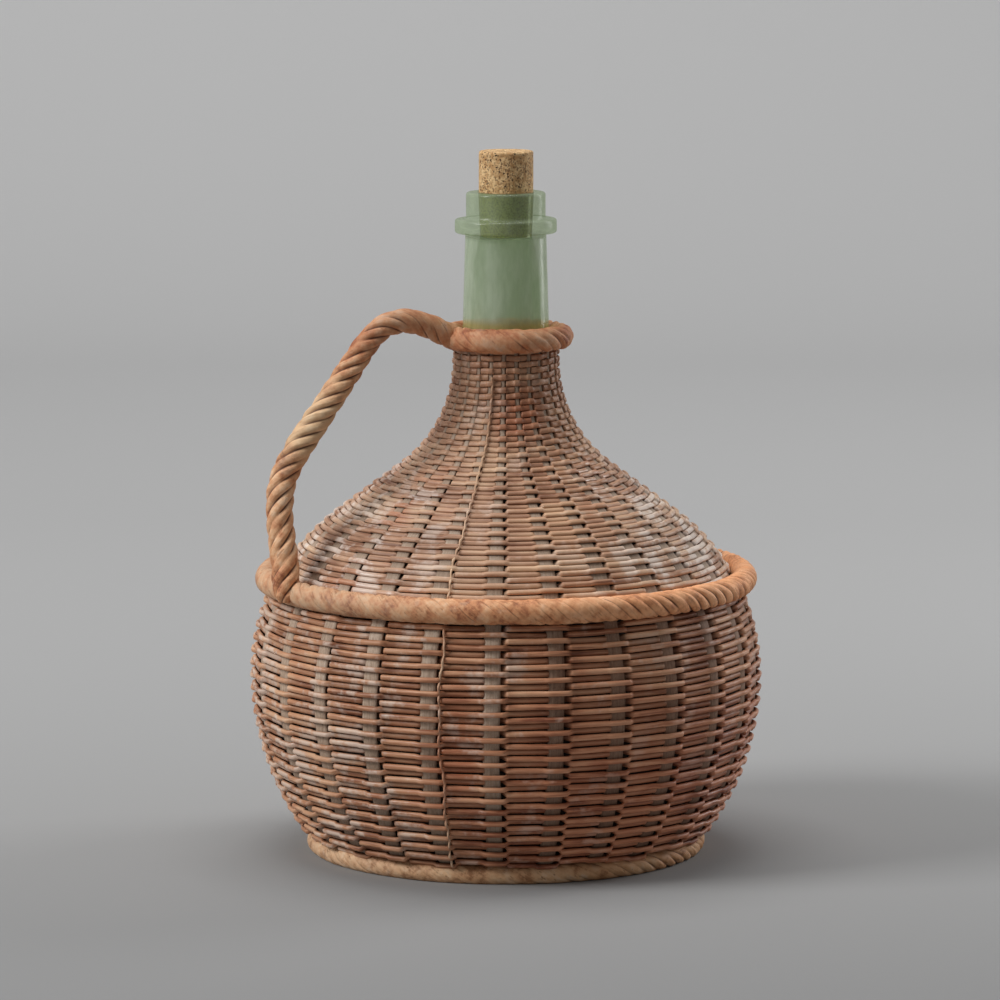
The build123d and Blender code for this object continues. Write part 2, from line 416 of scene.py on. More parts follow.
@dataclass(frozen=True)
class StakeFinish:
    """Split willow, greyed. With `run`, the fibres lie along the object's axes."""

    name: str
    dark: tuple
    middle: tuple
    pale: tuple
    shade_tint: tuple
    run: Triple | None = None
    fibres: Noise = Noise(1100.0, 4.0, 0.62)
    specks: Noise = Noise(1500.0, 2.0, 0.5)
    patches: Noise = Noise(45.0)
    shoulder: Stretch = (0.13, 0.15)
    foot: Stretch = (0.02, 0.1)
    shade_side: Stretch = (0.0, 0.03)

    def material(self) -> bpy.types.Material:
        """Mixes the colour from long fibres, specks and wide patches.

        Returns:
            The material.
        """
        g = Graph(self.name)
        if self.run is None:
            long_run, short_run = g.grain(0.05), g.grain(0.6)
        else:
            long_run, short_run = g.stretch(g.place(), self.run), g.place()
        fibre, specks = g.noise(self.fibres, long_run), g.noise(self.specks, short_run)
        level = fibre * 0.6 + specks * 0.35 + g.noise(self.patches) * 0.5 - 0.22
        colour = g.ramp(level, [(0.2, self.dark), (0.5, self.middle), (0.78, self.pale)])
        height = g.along(UPRIGHT)
        above = height.step(*self.shoulder)
        dull = above * 0.45 + (1.0 - height.step(*self.foot)) * 0.5
        colour = g.mix(dull, colour, self.dark)
        # Painted shade on the stakes' side away from the key lamp, below the shoulder.
        side_shade = g.along(ACROSS).step(*self.shade_side) * (1.0 - above)
        colour = g.mix(side_shade, colour, self.shade_tint, "MULTIPLY")
        return g.finish({
            "Base Color": colour,
            "Roughness": 0.6 + 0.2 * specks,
            "Normal": g.bump(fibre * 0.6 + specks * 0.4, 0.00015),
        })


@dataclass(frozen=True)
class CorkFinish:
    """Natural cork: pale ground with brown granules and dark pores, both in crowds."""

    name: str
    base: tuple
    pale: tuple
    brown: tuple
    pore: tuple
    ground: Noise = Noise(420.0)
    granules: Noise = Noise(1150.0)
    crowds: Noise = Noise(210.0, 2.0, 0.5)
    pores: float = 620.0

    def material(self) -> bpy.types.Material:
        """Mixes the ground, the granules and the pores.

        Returns:
            The material.
        """
        g = Graph(self.name)
        warp = g.noise(self.ground)
        granules = g.noise(self.granules)
        crowd = g.noise(self.crowds)
        dots = g.cells(self.pores) + granules * 0.4
        brown = 1.0 - (granules - 0.35 * crowd).step(0.22, 0.3)
        dark = 1.0 - (dots - 0.3 * crowd).step(0.2, 0.28)
        colour = g.ramp(warp, [(0.38, self.base), (0.62, self.pale)])
        colour = g.mix(brown * 0.75, colour, self.brown)
        return g.finish({
            "Base Color": g.mix(dark, colour, self.pore),
            "Roughness": 0.78 + 0.12 * warp,
            "Normal": g.bump(dots.step(0.2, 0.6) * 0.6 + granules * 0.4, 0.0005),
        })


@dataclass(frozen=True)
class GlassFinish:
    """Old pale green glass, milky and hazed with fine dirt, olive at the neck ring, and in painted
    shade inside the cover.
    """

    name: str
    green: tuple
    milk: tuple
    olive: tuple
    shade: tuple
    through: tuple
    mouth: tuple
    cork: tuple
    cloud: float
    haze: Noise = Noise(120.0, 4.0)
    dust_and_sheen: Noise = Noise(900.0)
    speckle: Noise = Noise(1150.0)
    olive_line: Stretch = (0.2645, 0.2685)
    cover_line: Stretch = (0.25, 0.256)
    mouth_line: Stretch = (0.3075, 0.3085)

    def material(self) -> bpy.types.Material:
        """Mixes a green body that the cork shows through, hazed by dust.

        Returns:
            The material.
        """
        g = Graph(self.name)
        height, outer = g.along(UPRIGHT), 1.0 - g.field("inside")
        haze = g.noise(self.haze, g.stretch(g.place(), (1.0, 1.0, 0.25)))
        dust_and_sheen = g.noise(self.dust_and_sheen)
        hidden, mouth = 1.0 - height.step(*self.cover_line), height.step(*self.mouth_line)
        colour = g.mix(haze.step(0.35, 0.7) * 0.35, self.green, self.milk)
        colour = g.mix(1.0 - height.step(*self.olive_line), colour, self.olive)
        # Painted shade: inside the cover the glass turns a dark, opaque brown.
        colour = g.mix(hidden, colour, self.shade)
        speckle = g.noise(self.speckle).step(0.34, 0.6)
        within = g.mix(mouth, self.shade, g.mix(speckle, self.mouth, self.cork))
        cloud = self.cloud + 0.14 * haze.step(0.3, 0.7) + 0.06 * dust_and_sheen
        cloud = cloud * (1.0 - mouth * 0.5)
        inputs = {
            "Base Color": g.mix(outer, within, colour),
            "Roughness": 0.1 + 0.2 * haze + 0.6 * hidden,
            "Normal": g.bump(haze * 0.7 + dust_and_sheen * 0.3, 0.0003),
            "IOR": 1.5,
            "Specular IOR Level": 1.0,
            "Coat Weight": 0.6 * dust_and_sheen.step(0.42, 0.6) * (1.0 - hidden),
            "Coat Roughness": 0.12,
        }
        cover = outer * (cloud + hidden) + mouth * (1.0 - outer) * 0.88
        return g.finish(inputs, cover, self.through)


BODY_FINISH = RodFinish(
    "body_rods", tint(78, 40, 24), tint(144, 88, 58), tint(198, 144, 108), tint(224, 182, 146),
    tint(226, 208, 192), tint(172, 88, 50), recess_shade=0.62, contrast=1.0, wear_and_sheen=(0.65, 0.55, 0.35),
    side_shade=(0.96, 0.72, 0.64, 1.0), lifts=0.8, far_sheen=0.0,
)
HOOD_FINISH = RodFinish(
    "hood_rods", tint(78, 48, 32), tint(140, 96, 70), tint(190, 150, 122), tint(220, 188, 156),
    tint(240, 230, 220), tint(182, 106, 70), recess_shade=0.45, contrast=0.9, wear_and_sheen=(0.6, 0.3, 0.65),
    side_shade=(0.96, 0.84, 0.74, 1.0), lifts=0.0, far_sheen=1.0, blot=(-0.0083, -0.0335, 0.224),
)
STAKE_FINISH = StakeFinish(
    "split_stakes", tint(124, 100, 82), tint(188, 164, 142), tint(220, 204, 186),
    shade_tint=(0.62, 0.49, 0.43, 1.0),
)
UPPER_FINISH = replace(
    STAKE_FINISH, name="upper_sticks", run=(1.0, 12.0, 12.0), fibres=Noise(90.0, 4.0, 0.62)
)
LOWER_FINISH = replace(UPPER_FINISH, name="lower_sticks", run=(12.0, 1.0, 12.0))
ROPE_FINISH = RopeFinish(
    "willow_rope", tint(84, 42, 24), tint(150, 86, 54), tint(204, 138, 94), tint(230, 178, 134),
    tint(218, 190, 150), tint(238, 204, 172), tint(190, 158, 128), tint(255, 178, 122),
)
BELT_FINISH = replace(ROPE_FINISH, name="belt_rope", sides=(0.5, 0.62))
FOOT_FINISH = RopeFinish(
    "foot_rope", tint(110, 68, 42), tint(160, 112, 76), tint(212, 164, 122), tint(230, 190, 148),
    tint(224, 196, 156), tint(238, 216, 188), tint(220, 190, 160), tint(186, 122, 66),
    sides=(0.2, 0.5), marks=Noise(640.0, 4.0, 0.65), marked=0.9,
)
CORK_FINISH = CorkFinish(
    "natural_cork", tint(188, 144, 94), tint(236, 200, 148), tint(98, 60, 30), tint(40, 24, 12)
)
GLASS_FINISH = GlassFinish(
    "milky_glass", tint(196, 212, 184), tint(226, 234, 218), tint(218, 208, 142),
    tint(62, 46, 34), tint(226, 234, 216), tint(116, 120, 46), tint(158, 160, 76), cloud=0.34,
)


# Meshes and pieces


def stacked(*parts: Array | float) -> Array:
    """Vectors from their parts, which are spread to one shape."""
    return np.stack(np.broadcast_arrays(*parts), -1)


def unit(vectors: Array) -> Array:
    """Vectors brought to length 1."""
    return vectors / np.linalg.norm(vectors, axis=-1, keepdims=True)


def lengths(path: Array) -> Array:
    """Way along a path to each of its points."""
    return np.concatenate([[0], np.cumsum(np.linalg.norm(np.diff(path, axis=0), axis=1))])


def even_angles(count: int) -> Array:
    """Angles that part a full turn evenly."""
    return TAU * np.arange(count) / count


def bulge(values: Array, power: float) -> Array:
    """Values to a power, with their signs kept."""
    return np.sign(values) * np.abs(values) ** power


def arc(centre: tuple, radius: float, first: float, last: float, count: int = 300) -> Array:
    """Arc: centre + radius x (cosine, sine) of the angle."""
    angle = np.linspace(first, last, count)
    return np.array(centre[:2]) + radius * stacked(np.cos(angle), np.sin(angle))


def turned(flat: Array, angle: Array | float) -> Array:
    """Points given as radius and height, turned about the upright axis by an angle."""
    radius, height = flat[..., 0], flat[..., 1]
    return stacked(radius * np.cos(angle), radius * np.sin(angle), height)


def sweep(directions: Array, sizes: Array) -> Array:
    """The direction of each row times each size in the row."""
    return directions[:, None] * sizes[..., None]


def ripple(length: Array, waves: list[float], seed: int) -> Array:
    """Sum of sine waves of the given lengths, each with its own start, scaled to about 1."""
    starts = np.random.default_rng(seed).uniform(0, TAU, len(waves))
    parts = [np.sin(TAU * length / wave + start) for wave, start in zip(waves, starts)]
    return sum(parts) / len(waves)


def placed(name: str, data: bpy.types.ID) -> bpy.types.Object:
    """New object that is linked to the scene."""
    made = bpy.data.objects.new(name, data)
    bpy.context.scene.collection.objects.link(made)
    return made


def smooth_mesh(name: str, points: Array, faces: list[list[int]]) -> bpy.types.Mesh:
    """Smooth mesh from points in metres and the point numbers of its faces."""
    mesh = bpy.data.meshes.new(name)
    mesh.from_pydata(points.reshape(-1, 3), [], faces)
    mesh.polygons.foreach_set("use_smooth", np.ones(len(mesh.polygons), bool))
    return mesh


class Piece:
    """One closed skin. Each kind of piece gives its own name, CAD node and skin.

    A skin is a grid of points. Its columns go round a section and always join up. Its rows follow
    the piece, and where they don't join, a flat face closes each end. Column direction x row
    direction points outwards. A field is an attribute of the points: vectors in three axes, or
    numbers that spread to the grid.
    """

    name: str
    node: str
    slot = Slot.WILLOW
    body = Body.BOTTLE
    ring_rows = False

    def skin(self) -> Skin:
        """Works out the skin."""
        raise NotImplementedError

    def _faces(self, rows: int, columns: int) -> list[list[int]]:
        """Joins neighbouring points in faces.

        Args:
            rows, columns: Size of the grid.

        Returns:
            Point numbers of each face.
        """
        index = np.arange(rows * columns).reshape(rows, columns)
        below = index if self.ring_rows else index[:-1]
        above = np.roll(index, -1, axis=0) if self.ring_rows else index[1:]
        corners = [below, np.roll(below, -1, 1), np.roll(above, -1, 1), above]
        faces = np.stack(corners, axis=-1).reshape(-1, 4).tolist()
        return faces if self.ring_rows else [*faces, index[0][::-1].tolist(), index[-1].tolist()]

    def build(self, finish: bpy.types.Material) -> bpy.types.Object:
        """Makes the piece, with its finish, its body and the CAD node that it stands for.

        Args:
            finish: Material of the whole piece.

        Returns:
            The new object.
        """
        points, fields = self.skin()
        mesh = smooth_mesh(self.name, points * MM, self._faces(*points.shape[:2]))
        for key, values in fields.items():
            wide = np.ndim(values) == 3
            spread = np.broadcast_to(values, points.shape[: 3 if wide else 2])
            made = mesh.attributes.new(key, "FLOAT_VECTOR" if wide else "FLOAT", "POINT")
            made.data.foreach_set("vector" if wide else "value", spread.astype(np.float32).ravel())
        mesh.update()
        mesh.materials.append(finish)
        piece = placed(self.name, mesh)
        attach(piece, self.body.value)
        if self.node:
            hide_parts(self.node)
        LOG.info("%s: %d faces", piece.name, len(mesh.polygons))
        return piece


# The line that the stakes follow


@dataclass
class StakeLine:
    """Meridian through the middle of the stakes, in millimetres, from the base to the neck.

    It is made of arcs about fixed centres, drawn `out` away from the glass on the body and
    `neck_out` away on the throat, as the solids are. An arc is its centre and its radius on the
    glass. A stake is a share of the radius wide, up to its full width round the belly.
    """

    out: float = 6.8
    neck_out: float = 3.1
    start: float = 42.0
    heel: Triple = (91.23, 21.93, 6.0)
    lower: Triple = (-9.3, 89.6, 127.2)
    shoulder: Triple = (26.6, 89.6, 91.3)
    throat: Triple = (91.2, 246.6, 69.3)
    top: float = 255.4
    belt_angle: float = 27.4
    wide: float = 8.2
    share: float = 0.08
    stake_depths: Triple = (2.2, 1.4, 1.1)
    rod_depths: Triple = (2.5, 2.0, 1.6)

    def __post_init__(self) -> None:
        """Samples the line closely and measures along it."""
        heel_end = np.arctan2(self.heel[1] - self.lower[1], self.heel[0] - self.lower[0])
        shoulder, throat = self.shoulder[2] + self.out, self.throat[2] - self.neck_out
        reach, rise = self.throat[0] - self.shoulder[0], self.throat[1] - self.shoulder[1]
        turn = np.arctan2(rise, reach) - np.arccos((shoulder + throat) / np.hypot(reach, rise))
        base, neck = self.heel[1] - self.heel[2] - self.out, self.throat[0] - throat
        cone = arc(self.shoulder, shoulder, turn, turn, 1), arc(self.throat, -throat, turn, turn, 1)
        parts = [
            np.linspace((self.start, base), (self.heel[0], base), 120),
            arc(self.heel, self.heel[2] + self.out, -np.pi / 2, heel_end),
            arc(self.lower, self.lower[2] + self.out, heel_end, 0),
            arc(self.shoulder, shoulder, 0, turn),
            np.linspace(cone[0][0], cone[1][0], 120),
            arc(self.throat, throat, np.pi + turn, np.pi),
            np.linspace((neck, self.throat[1]), (neck, self.top), 120),
        ]
        self.ends = np.cumsum([lengths(part)[-1] for part in parts])
        self.line = np.vstack([part[:-1] for part in parts] + [parts[-1][-1:]])
        self.along = lengths(self.line)
        self.run = unit(np.gradient(self.line, self.along, axis=0))

    def at(self, along: Array) -> tuple[Array, Array, Array]:
        """Looks the line up.

        Args:
            along: Distances along it.

        Returns:
            Point, direction and outward direction at each, all as radius and height.
        """
        spot, run = (
            np.stack([np.interp(along, self.along, values[:, k]) for k in (0, 1)], -1)
            for values in (self.line, self.run)
        )
        run = unit(run)
        return spot, run, np.stack([run[..., 1], -run[..., 0]], -1)

    def blend(self, along: Array, sizes: Triple) -> Array:
        """Size below the belt, just above it and at the throat, even between these."""
        return np.interp(along, [self.belt - 4, self.belt + 4, self.ends[4]], sizes)

    @property
    def belt(self) -> float:
        """Distance along at which the belt ring lies."""
        return self.ends[2] + (self.shoulder[2] + self.out) * np.radians(self.belt_angle)

    def stake_width(self, along: Array) -> Array:
        """Stake width."""
        return np.minimum(self.wide, self.share * np.interp(along, self.along, self.line[:, 0]))


LINE = StakeLine()


# Cover


@dataclass
class WovenBand(Piece):
    """Rods worked over one stake and under the next, row above row, as one long coil.

    A rod stands out by `over` in front of a stake, by `sunk` across the bay after it and by `proud`
    across the bay after the next, as shares of its reach. It bends within a `gap` of a bay, and
    passes `span` stakes before the next rod goes on.
    """

    name: str
    node: str
    first: float
    last: float
    rows: int
    over: float = 1.0
    sunk: float = 0.0
    proud: float = 0.62
    gap: float = 0.1
    swell: float = -0.14
    fill: float = 0.97
    span: int = 38
    sides: int = 8
    seed: int = 1

    @property
    def pitch(self) -> float:
        """Height of a row along the stake line."""
        return (self.last - self.first) / self.rows

    def _level(self, u: Array) -> Array:
        """Distance along the stake line after u stakes: an even climb."""
        climb = (self.last - self.first - self.pitch) / (self.rows * STAKES)
        return self.first + self.pitch / 2 + climb * u

    def _stations(self) -> tuple[Array, Array, float]:
        """Places the coil's sections, ten to a stake and close together where the rod bends.

        Returns:
            Stakes passed at each section, half a stake as a share of its bay, and the mean bay.
        """
        whole = np.arange(self.rows * STAKES)
        level = self._level(whole)
        bay = TAU * LINE.at(level)[0][:, 0] / STAKES
        edge = LINE.stake_width(level) / 2 / bay
        after = [edge + self.gap * share for share in (0.2, 0.6, 1.0, 1.4)]
        before = [1 - edge - self.gap * 0.8, 1 - edge - self.gap * 0.4, 1 - edge, 1 - edge * 0.5]
        shares = np.stack([0 * edge, *after, 0 * edge + 0.55, *before], -1)
        u = np.append((whole[:, None] + shares).ravel(), len(whole))
        edge, bay = (np.append(np.repeat(size, shares.shape[1]), size[-1]) for size in (edge, bay))
        return u, edge, bay.mean()

    @staticmethod
    def _rise(place: Array, start: Array, span: Array | float) -> Array:
        """Smooth step from 0 to 1 over `span` from `start`: 3t^2 - 2t^3."""
        t = np.clip((place - start) / span, 0, 1)
        return t * t * (3 - 2 * t)

    def _side(self, turn: Array, edge: Array) -> Array:
        """Where the rod stands, as a sum of smooth steps.

        Args:
            turn: Stakes passed, from 0 to 2.
            edge: Half a stake's width as a share of its bay.

        Returns:
            `over`, then `sunk`, then -1 behind the second stake, then `proud`.
        """
        gap = self.gap
        return (
            self.over
            + (self.sunk - self.over) * self._rise(turn, edge + 0.4 * gap, gap)
            - (1 + self.sunk) * self._rise(turn, 1 - edge, 0.8 * edge)
            + (1 + self.proud) * self._rise(turn, 1 + edge + 0.2 * gap, 0.8 * gap)
            + (self.over - self.proud) * self._rise(turn, 2 - edge - 0.8 * gap, 0.8 * gap)
        )

    def skin(self) -> Skin:
        """Coil that climbs evenly along the stake line and stands off it by reach x side.

        With u as the count of stakes passed, the side swaps at every stake. An odd number of stakes
        makes each row the opposite of the row below it.

        Returns:
            Points and fields.
        """
        u, edge, bay = self._stations()
        angle = TAU * u / STAKES + STAKE_TURN
        middle = self._level(u)
        waver = 0.16 * np.sin(5 * angle + middle / 9) + 0.12 * np.sin(12 * angle + middle / 5 + 2)
        middle = middle + waver * np.minimum(1, self.pitch / 3)
        spot, run, out = LINE.at(middle)
        side = self._side(u % 2, edge)
        depth = LINE.blend(middle, LINE.rod_depths) / 2
        reach = LINE.blend(middle, LINE.stake_depths) / 2 + 0.1 + depth
        reach = reach * (1 + 0.04 * ripple(u, [7.3, 3.1, 17.7], self.seed))
        centre = spot + out * (side * reach)[:, None]
        thick = 1 + 0.07 * ripple(u, [61.0, 23.0, 9.7], self.seed + 5)
        tall = self.pitch / 2 * self.fill * thick * (1 + self.swell * np.clip(side, -0.5, 1))
        turn = even_angles(self.sides)
        lift = bulge(np.cos(turn), 0.8)
        deep = (depth * thick)[:, None] * lift
        tall = tall[:, None] * np.sin(turn)
        flat = centre[:, None] + sweep(out, deep) - sweep(run, tall)
        segment = np.floor((u + 1) / 2).astype(int)
        rod = np.floor((u + 1) / self.span).astype(int)
        rng = np.random.default_rng(self.seed)
        tones = rng.beta(2.5, 2.5, segment.max() + 1)
        rods = rng.uniform(0, 1, rod.max() + 1)
        distance = u * bay + rods[rod] * 9000
        return turned(flat, angle[:, None]), {
            "grain": stacked(distance[:, None], deep, tall) * MM,
            "tone": (0.5 * tones[segment] + 0.5 * rods[rod])[:, None],
            "front": lift,
            "level": side[:, None],
        }


@dataclass
class Stake(Piece):
    """One split rod, flat and rounded at its edges, in one run from the base to the neck."""

    number: int
    sides: int = 12
    stations: int = 170

    slot = Slot.STAKE

    def __post_init__(self) -> None:
        """Names the piece and its CAD node by its number."""
        self.name, self.node = f"stake_rod_{self.number:02d}", f"stake_{self.number:02d}"

    def skin(self) -> Skin:
        """Section of (cosine to the power 0.8, sine to the power 0.7) along the stake line.

        Returns:
            Points and fields.
        """
        seed = 100 + self.number
        along = np.linspace(0, LINE.along[-1], self.stations)
        spot, _, out = LINE.at(along)
        angle = TAU * (self.number - 1) / STAKES + STAKE_TURN
        drift = 0.5 * ripple(along, [150.0, 67.0], seed)
        broader = 1 + 0.06 * ripple(along, [43.0, 19.0, 88.0], seed + 1)
        thicker = 1 + 0.05 * ripple(along, [31.0, 12.0], seed + 2)
        wide = LINE.stake_width(along) / 2 * broader
        deep = LINE.blend(along, LINE.stake_depths) / 2 * thicker * 0.94
        turn = even_angles(self.sides)
        shift = wide[:, None] * bulge(np.sin(turn), 0.7) + drift[:, None]
        deep = deep[:, None] * bulge(np.cos(turn), 0.8)
        side = np.array([-np.sin(angle), np.cos(angle), 0])
        points = turned(spot[:, None] + sweep(out, deep), angle) + shift[..., None] * side
        return points, {"grain": stacked(along[:, None] + self.number * 500, shift, deep) * MM}


@dataclass
class SplitStrand(Piece):
    """Thin split of willow that lies over the rods beside one stake, up the body and the hood."""

    turn: float = 231.5
    radius: float = 0.6
    stand: float = 3.0
    hood_stand: float = 2.2
    pitch: float = 6.3
    sides: int = 6

    name, node = "split_strand", ""

    def skin(self) -> Skin:
        """Tube that stands off the stake line by stand + 0.7 x sine of the way over the pitch.

        Returns:
            Points and fields.
        """
        along = np.arange(LINE.ends[0] + 6, LINE.ends[5] - 6, 0.9)
        spot, _, out = LINE.at(along)
        stand = LINE.blend(along, (self.stand, self.hood_stand, self.hood_stand - 0.4))
        stand = stand + 0.7 * np.sin(TAU * along / self.pitch)
        under_belt = np.abs(along - LINE.belt) < 7
        centre = spot + out * np.where(under_belt, 0.5, stand)[:, None]
        angle = np.radians(self.turn + 0.5 * ripple(along, [70.0, 31.0], 5))
        thick = self.radius * (1 + 0.25 * ripple(along, [11.0, 5.3], 6))
        section = even_angles(self.sides)
        lift, side = thick[:, None] * np.cos(section), thick[:, None] * np.sin(section)
        points = turned(centre[:, None] + sweep(out, lift), angle[:, None])
        points += sweep(stacked(-np.sin(angle), np.cos(angle), 0), side)
        grain = stacked(along[:, None], side, lift) * MM
        return points, {"grain": grain, "tone": 0.9, "front": 1.0, "level": 1.0}


# Ropes


@dataclass
class Rope:
    """Rods twisted together, as one skin whose section has a round lobe for each strand."""

    strands: int = 5
    lobe_points: int = 9

    def _ripples(self, length: Array, waves: list[float], seed: int) -> Array:
        """A ripple for each strand, as rows x strands."""
        return np.stack([ripple(length, waves, seed + k) for k in range(self.strands)], -1)

    def wind(
        self, path: Array, first: Array, second: Array, radius: Array, twist: Array, groove: Array,
        pale: Array | float = 0.0,
    ) -> Skin:
        """Winds the skin round a path.

        A point's distance from the path is radius x (cosine of its angle from the lobe's crown) to
        the power `groove`, less a narrow notch between lobes. The lobes turn with `twist`, and the
        points turn with the lobes.

        Args:
            path: Middle line, rows x 3.
            first, second: Directions square to the path, with first x second along it.
            radius, twist, groove: One number for each row.
            pale: Share of straw colour for each row.

        Returns:
            Points and fields.
        """
        columns = self.strands * self.lobe_points
        own = TAU * (np.arange(columns) + 0.5) / columns
        half = np.pi / self.strands
        off = (own + half) % (2 * half) - half
        strand = np.arange(columns) // self.lobe_points
        length = lengths(path)
        swell = 1 + 0.035 * self._ripples(length, [47.0, 21.0, 90.0], 40)[:, strand]
        seam = ((own + half) // (2 * half)).astype(int) % self.strands
        seam = np.where(off > 0, seam, (seam - 1) % self.strands)
        opened = 0.75 + 0.65 * self._ripples(length, [13.0, 29.0, 61.0], 60)[:, seam]
        depth = np.clip(groove[:, None] * opened, 0.05, 1.6)
        notch = np.exp(-(((half - np.abs(off)) / (0.3 * half)) ** 2))
        reach = radius[:, None] * (np.cos(off) ** (0.55 * depth) - 0.09 * depth * notch) * swell
        angle = own + twist[:, None]
        points = path[:, None] + sweep(first, reach * np.cos(angle))
        points += sweep(second, reach * np.sin(angle))
        grain = stacked(length[:, None] + 40.0 * strand, radius[:, None] * np.sin(off), reach * 0.5)
        front = 1 - np.clip(depth, 0, 1) * (np.abs(off) / half) ** 3
        return points, {"grain": grain * MM, "front": front, "straw": np.reshape(pale, (-1, 1))}


@dataclass
class RopedRing(Piece):
    """Level ring of rope, `flat` where it is pressed to a floor at that height.

    Its grooves are `plain` deep at the angle `plain_at` and `deep` on the other side.
    """

    name: str
    node: str
    radius: float
    height: float
    rope: float
    twists: int
    deep: float
    plain: float
    plain_at: float
    slot: Slot = Slot.ROPE
    flat: float | None = None

    ring_rows = True

    def _uneven(self, angle: Array, counts: tuple[int, ...], seed: int) -> Array:
        """Ripple with whole numbers of waves round the ring."""
        return ripple(self.radius * angle, [TAU * self.radius / count for count in counts], seed)

    def skin(self) -> Skin:
        """Rope round a circle that wobbles a little.

        Returns:
            Points and fields.
        """
        angle = even_angles(int(TAU * self.radius / 1.1))
        outward = stacked(np.cos(angle), np.sin(angle), 0)
        upward = np.tile(UPRIGHT, (len(angle), 1))
        reach = self.radius + 0.3 * self._uneven(angle, (3, 7, 12), 7)
        path = outward * reach[:, None] + upward * self.height
        share = (0.5 + 0.5 * np.cos(angle - np.radians(self.plain_at))) ** 1.5
        groove = self.deep + (self.plain - self.deep) * share
        radius = self.rope * (1 + 0.03 * self._uneven(angle, (5, 11, 19), 9))
        points, fields = Rope().wind(path, upward, outward, radius, self.twists * angle, groove)
        if self.flat is not None:
            points[..., 2] = np.maximum(points[..., 2], self.flat)
        return points, fields


@dataclass
class RopedHandle(Piece):
    """Bow of rope from the neck ring out and down to the belt.

    It passes through `spots`, as radius and height, and leans to the front by the second number of
    `lean` at the height of the first.
    """

    rope: float = 7.0
    lay: float = 41.0
    spots: tuple = (
        (26.5, 258.0), (34.0, 261.2), (44.0, 265.6), (54.5, 268.0), (65.5, 265.8), (74.6, 258.2),
        (84.3, 245.2), (94.4, 231.0), (104.8, 217.2), (113.8, 204.4), (120.2, 191.4),
        (122.4, 177.6), (122.4, 163.0), (122.6, 150.0), (124.0, 141.0), (125.0, 133.5),
    )
    lean: tuple = (
        (133.5, 14.0), (141.0, 12.5), (150.0, 9.5), (163.0, 4.5), (177.6, 1.0), (191.4, 0.0),
    )

    name, node, slot = "roped_handle", "handle", Slot.ROPE

    def _path(self) -> Array:
        """Curve through the spots, a cubic blend in which each point weighs four of them.

        Returns:
            Points of the curve, rows x 3.
        """
        spots = np.array(self.spots)
        knots = np.vstack([2 * spots[0] - spots[1], spots, 2 * spots[-1] - spots[-2]])
        place = np.linspace(0, len(spots) - 1 - 1e-6, 260)
        whole = place.astype(int)
        t = (place - whole)[:, None]
        a, b, c, d = (knots[whole + k] for k in range(4))
        curve = b + 0.5 * t * (c - a + t * (2 * a - 5 * b + 4 * c - d + t * (3 * (b - c) + d - a)))
        front = np.interp(curve[:, 1], *np.array(self.lean).T)
        front = np.convolve(np.pad(front, 12, "edge"), np.full(25, 1 / 25), "valid")
        return np.stack([-curve[:, 0], -front, curve[:, 1]], -1)

    def skin(self) -> Skin:
        """Rope along the bow, slimmer at its ends, with a stretch of straw colour.

        Returns:
            Points and fields.
        """
        path = self._path()
        run = unit(np.gradient(path, axis=0))
        outward = unit(np.cross([0.0, 1.0, 0.0], run))
        length = lengths(path)
        end = length[-1]
        ends = np.interp(length, [0, 4, end - 11, end - 3, end], [0.8, 0.95, 1, 0.78, 0.4])
        slim = np.interp(length, [0, 25, 50, 90], [0.95, 0.9, 0.9, 1.0])
        radius = self.rope * ends * slim * (1 + 0.02 * ripple(length, [33.0, 14.0], 3))
        groove = np.interp(length, [0, 30, 60, end - 30, end], [0.5, 0.8, 1.4, 1.4, 0.9])
        shares = [0, 0.34, 0.48, 0.58, 0.66, 1]
        pale = np.interp(length / end, shares, [0, 0, 0.75, 0.85, 0.1, 0])
        twist = TAU * length / self.lay
        sideways = np.cross(run, outward)
        return Rope().wind(path, sideways, -outward, radius, twist, groove, pale)


# Glass and cork


